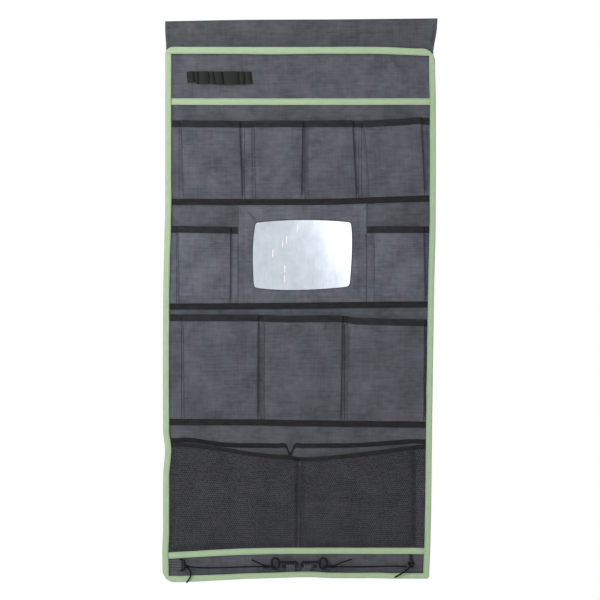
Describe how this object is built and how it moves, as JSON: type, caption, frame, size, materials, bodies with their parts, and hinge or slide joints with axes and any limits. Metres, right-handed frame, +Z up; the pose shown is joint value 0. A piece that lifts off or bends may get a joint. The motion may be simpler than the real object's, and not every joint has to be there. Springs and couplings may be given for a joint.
{
  "type": "hanging organizer",
  "caption": "Cloth hanging organizer for a tent: pole sleeve, tool loops, pleated pockets, mirror, net pocket and shock cords with hooks, edged with woven tape.",
  "frame": {"origin": "middle of the pole tunnel at the top, where a tent pole holds the organizer", "axes": "+X to the right seen from the front, the front faces -Y, +Z up"},
  "size_m": [0.486, 0.0264, 1.0058],
  "materials": {
    "grey_cloth": "coated plain-weave polyester, matt with a faint sheen",
    "green_tape": "ribbed woven tape, matt",
    "black_tape": "ribbed woven tape, matt",
    "black_elastic": "flat woven elastic, matt",
    "black_net": "knitted polyester net",
    "grey_webbing": "woven webbing, matt",
    "black_cord": "braided elastic cord",
    "black_plastic": "moulded, half gloss",
    "mirror_plastic": "flexible plastic mirror, slightly wavy",
    "hook_and_loop": "hook-and-loop pile, matt"
  },
  "bodies": {
    "organizer": {"back_panel": "grey_cloth", "edge_binding": "green_tape", "header_facing": "grey_cloth", "header_trim": "green_tape", "bottom_trim": "green_tape", "tool_loop_elastic": "black_elastic", "sleeve_front_leaf": "grey_cloth", "sleeve_loop_tape": "hook_and_loop", "upper_pocket_row": "grey_cloth", "upper_pocket_row_binding": "black_tape", "upper_base_tape": "black_tape", "left_side_pocket": "grey_cloth", "left_side_pocket_binding": "black_tape", "right_side_pocket": "grey_cloth", "right_side_pocket_binding": "black_tape", "mirror_frame": "grey_cloth", "mirror_sheet": "mirror_plastic", "middle_base_tape": "black_tape", "lower_pocket_row": "grey_cloth", "lower_pocket_row_binding": "black_tape", "lower_base_tape": "black_tape", "mesh_pocket": "black_net", "mesh_pocket_binding": "black_tape", "mesh_rear_tape": "black_tape", "left_cord_tab": "grey_webbing", "right_cord_loop": "black_tape", "left_hook_tab": "grey_webbing", "right_hook_tab": "grey_webbing", "left_shock_cord": "black_cord", "right_shock_cord": "black_cord", "left_end_knot": "black_cord", "right_end_knot": "black_cord"},
    "sleeve_flap": {"sleeve_rear_flap": "grey_cloth", "flap_hook_tape": "hook_and_loop"},
    "left_hook": {"left_hook": "black_plastic", "left_hook_knot": "black_cord"},
    "right_hook": {"right_hook": "black_plastic", "right_hook_knot": "black_cord"}
  },
  "joints": [
    {"name": "sleeve_flap_fold", "type": "hinge", "parent": "organizer", "child": "sleeve_flap", "pos_m": [0, 0, 0.0246], "axis": [1, 0, 0], "range_deg": [0, 135]},
    {"name": "left_hook_swivel", "type": "hinge", "parent": "organizer", "child": "left_hook", "pos_m": [-0.0436, -0.0086, -0.9515], "axis": [1, 0, 0], "range_deg": [-15, 100]},
    {"name": "right_hook_swivel", "type": "hinge", "parent": "organizer", "child": "right_hook", "pos_m": [0.0416, -0.0086, -0.9515], "axis": [1, 0, 0], "range_deg": [-15, 100]}
  ]
}
